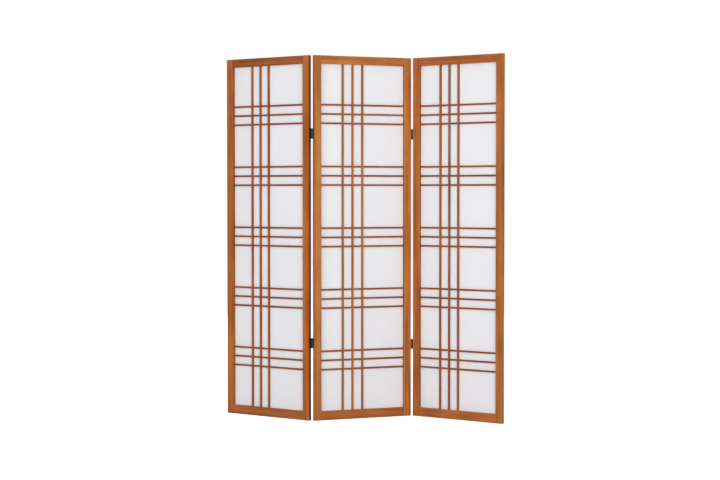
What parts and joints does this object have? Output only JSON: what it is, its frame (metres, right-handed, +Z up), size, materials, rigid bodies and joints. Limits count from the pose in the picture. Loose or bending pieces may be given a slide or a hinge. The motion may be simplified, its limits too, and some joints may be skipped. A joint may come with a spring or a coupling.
{
  "type": "shoji folding screen",
  "caption": "Free-standing folding screen: hinged wooden frames with a fine offset lattice in front of translucent paper.",
  "frame": {"origin": "on the floor under the middle of the centre panel, which is also the middle of the bounding box", "axes": "+Z up; +X along the run of the screen from the left panel to the right panel; +Y to the back, where the paper's beads are"},
  "size_m": [1.1954, 0.2218, 1.52],
  "materials": {
    "frame_wood": "honey-brown stain under satin lacquer",
    "lattice_wood": "honey-brown stain under satin lacquer",
    "bead_wood": "honey-brown stain under satin lacquer",
    "paper": "matt laminated paper, translucent white",
    "hinge_leaf": "black lacquered steel",
    "hinge_pin": "black lacquered steel"
  },
  "bodies": {
    "centre_panel": {"centre_bead_bottom": "bead_wood", "centre_bead_left": "bead_wood", "centre_bead_right": "bead_wood", "centre_bead_top": "bead_wood", "centre_lattice_band_1": "lattice_wood", "centre_lattice_band_2": "lattice_wood", "centre_lattice_band_3": "lattice_wood", "centre_lattice_band_4": "lattice_wood", "centre_lattice_band_5": "lattice_wood", "centre_lattice_uprights": "lattice_wood", "centre_paper": "paper", "centre_rail_bottom": "frame_wood", "centre_rail_top": "frame_wood", "centre_stile_left": "frame_wood", "centre_stile_right": "frame_wood", "hinge_left_lower_leaf_centre": "hinge_leaf", "hinge_left_lower_pin": "hinge_pin", "hinge_left_upper_leaf_centre": "hinge_leaf", "hinge_left_upper_pin": "hinge_pin", "hinge_right_lower_leaf_centre": "hinge_leaf", "hinge_right_lower_pin": "hinge_pin", "hinge_right_upper_leaf_centre": "hinge_leaf", "hinge_right_upper_pin": "hinge_pin"},
    "left_panel": {"hinge_left_lower_leaf_outer": "hinge_leaf", "hinge_left_upper_leaf_outer": "hinge_leaf", "left_bead_bottom": "bead_wood", "left_bead_left": "bead_wood", "left_bead_right": "bead_wood", "left_bead_top": "bead_wood", "left_lattice_band_1": "lattice_wood", "left_lattice_band_2": "lattice_wood", "left_lattice_band_3": "lattice_wood", "left_lattice_band_4": "lattice_wood", "left_lattice_band_5": "lattice_wood", "left_lattice_uprights": "lattice_wood", "left_paper": "paper", "left_rail_bottom": "frame_wood", "left_rail_top": "frame_wood", "left_stile_left": "frame_wood", "left_stile_right": "frame_wood"},
    "right_panel": {"hinge_right_lower_leaf_outer": "hinge_leaf", "hinge_right_upper_leaf_outer": "hinge_leaf", "right_bead_bottom": "bead_wood", "right_bead_left": "bead_wood", "right_bead_right": "bead_wood", "right_bead_top": "bead_wood", "right_lattice_band_1": "lattice_wood", "right_lattice_band_2": "lattice_wood", "right_lattice_band_3": "lattice_wood", "right_lattice_band_4": "lattice_wood", "right_lattice_band_5": "lattice_wood", "right_lattice_uprights": "lattice_wood", "right_paper": "paper", "right_rail_bottom": "frame_wood", "right_rail_top": "frame_wood", "right_stile_left": "frame_wood", "right_stile_right": "frame_wood"}
  },
  "joints": [
    {"name": "left_fold", "type": "hinge", "parent": "centre_panel", "child": "left_panel", "pos_m": [-0.2005, -0.09332, 0.76], "axis": [0, 0, -1], "range_deg": [-56.4, 123.6]},
    {"name": "right_fold", "type": "hinge", "parent": "centre_panel", "child": "right_panel", "pos_m": [0.2005, 0.09332, 0.76], "axis": [0, 0, -1], "range_deg": [-56.4, 123.6]}
  ]
}
